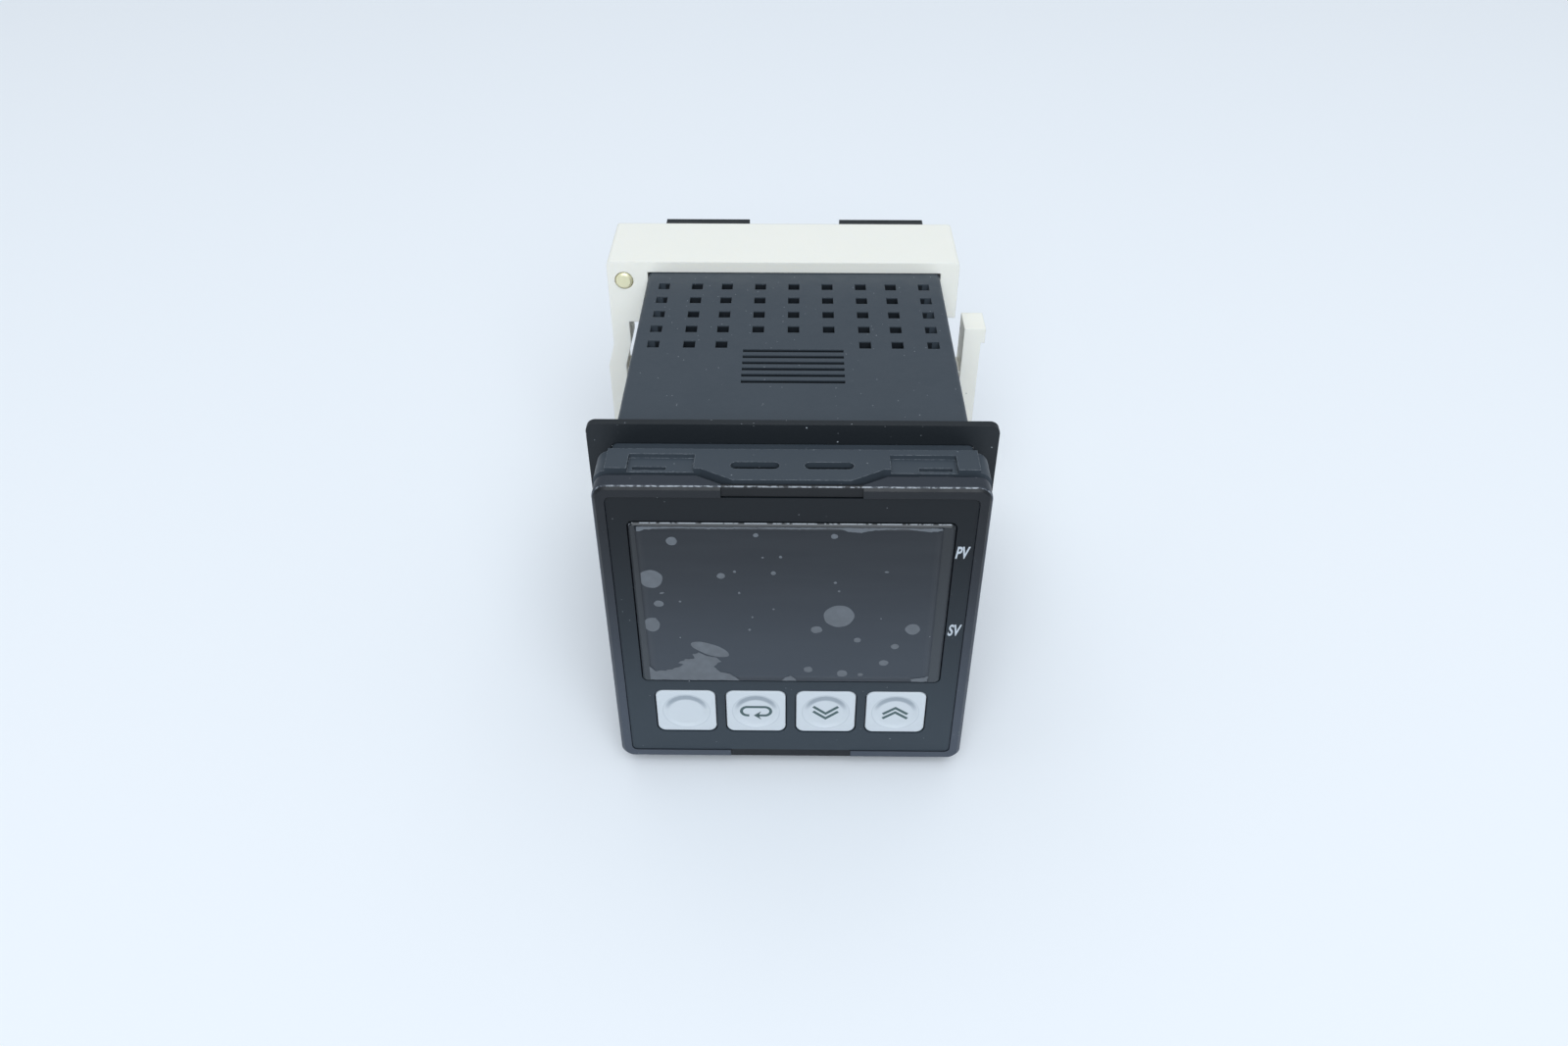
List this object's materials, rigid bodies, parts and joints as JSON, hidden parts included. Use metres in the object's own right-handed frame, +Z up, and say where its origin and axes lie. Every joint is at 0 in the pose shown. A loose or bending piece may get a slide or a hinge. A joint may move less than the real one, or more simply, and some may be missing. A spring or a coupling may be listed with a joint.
{
  "type": "panel temperature controller",
  "caption": "Square panel-mounted temperature controller with a film-covered window, white keys, a gasket, a ratchet mounting adapter and rear screw terminals.",
  "frame": {"origin": "centre of the gasket's rear face, in the plane of the panel the controller is fixed in", "axes": "+X to the right as seen from the front, +Y from the front towards the terminals, +Z up"},
  "size_m": [0.0614, 0.0831, 0.0512],
  "materials": {
    "bezel": "fine satin, dark grey",
    "front_print": "matt printed sheet",
    "window": "smoked, polished",
    "film": "thin clear film with bubbles",
    "key_white": "soft satin white with grey marks",
    "switch_stem": "satin",
    "switch_base": "satin",
    "case": "fine matt grain, dark grey",
    "gasket": "matt",
    "terminal_plastic": "fine matt grain",
    "contact_metal": "tinned",
    "plated_steel": "bright zinc plating",
    "adapter_plastic": "satin, cream white",
    "clamp_steel": "yellow zinc plating",
    "display_face": "dark face with pale segments",
    "lamp_lens": "tinted lens",
    "circuit_board": "green solder mask",
    "connector_plastic": "satin",
    "relay_case": "moulded case",
    "transformer_wrap": "tape over windings",
    "can_sleeve": "shrink sleeve",
    "chip_plastic": "moulded package"
  },
  "bodies": {
    "case": {"housing": "case", "gasket": "gasket", "terminal_block": "terminal_plastic", "terminal_contacts": "contact_metal", "terminal_washers": "plated_steel", "terminal_screws": "plated_steel"},
    "mechanism": {"front_cover": "bezel", "key_sheet": "front_print", "display_window": "window", "protective_film": "film", "key_switches": "switch_base", "process_display": "display_face", "setpoint_display": "display_face", "indicator_lamps": "lamp_lens", "display_board": "circuit_board", "main_board": "circuit_board", "power_board": "circuit_board", "board_connectors": "connector_plastic", "output_relay": "relay_case", "alarm_relay": "relay_case", "switching_transformer": "transformer_wrap", "filter_capacitor": "can_sleeve", "smoothing_capacitors": "can_sleeve", "rectifier_bridge": "chip_plastic", "processor_chip": "chip_plastic", "memory_chip": "chip_plastic"},
    "adapter": {"mounting_adapter": "adapter_plastic"},
    "clamp_left": {"clamp_screw_left": "clamp_steel"},
    "clamp_right": {"clamp_screw_right": "clamp_steel"},
    "button_blank": {"key_blank": "key_white", "switch_stem_blank": "switch_stem"},
    "button_loop": {"key_loop": "key_white", "switch_stem_loop": "switch_stem"},
    "button_down": {"key_down": "key_white", "switch_stem_down": "switch_stem"},
    "button_up": {"key_up": "key_white", "switch_stem_up": "switch_stem"}
  },
  "joints": [
    {"name": "mechanism_slide", "type": "slide", "parent": "case", "child": "mechanism", "axis": [0, -1, 0], "range_m": [0, 0.064]},
    {"name": "adapter_slide", "type": "slide", "parent": "case", "child": "adapter", "axis": [0, -1, 0], "range_m": [-0.028, 0.043]},
    {"name": "clamp_left_slide", "type": "slide", "parent": "adapter", "child": "clamp_left", "axis": [0, -1, 0], "range_m": [-0.008, 0.001]},
    {"name": "clamp_right_slide", "type": "slide", "parent": "adapter", "child": "clamp_right", "axis": [0, -1, 0], "range_m": [-0.008, 0.001]},
    {"name": "button_blank_press", "type": "slide", "parent": "mechanism", "child": "button_blank", "axis": [0, 1, 0], "range_m": [0, 0.0003], "stiffness_N_per_m": 2000},
    {"name": "button_loop_press", "type": "slide", "parent": "mechanism", "child": "button_loop", "axis": [0, 1, 0], "range_m": [0, 0.0003], "stiffness_N_per_m": 2000},
    {"name": "button_down_press", "type": "slide", "parent": "mechanism", "child": "button_down", "axis": [0, 1, 0], "range_m": [0, 0.0003], "stiffness_N_per_m": 2000},
    {"name": "button_up_press", "type": "slide", "parent": "mechanism", "child": "button_up", "axis": [0, 1, 0], "range_m": [0, 0.0003], "stiffness_N_per_m": 2000}
  ]
}
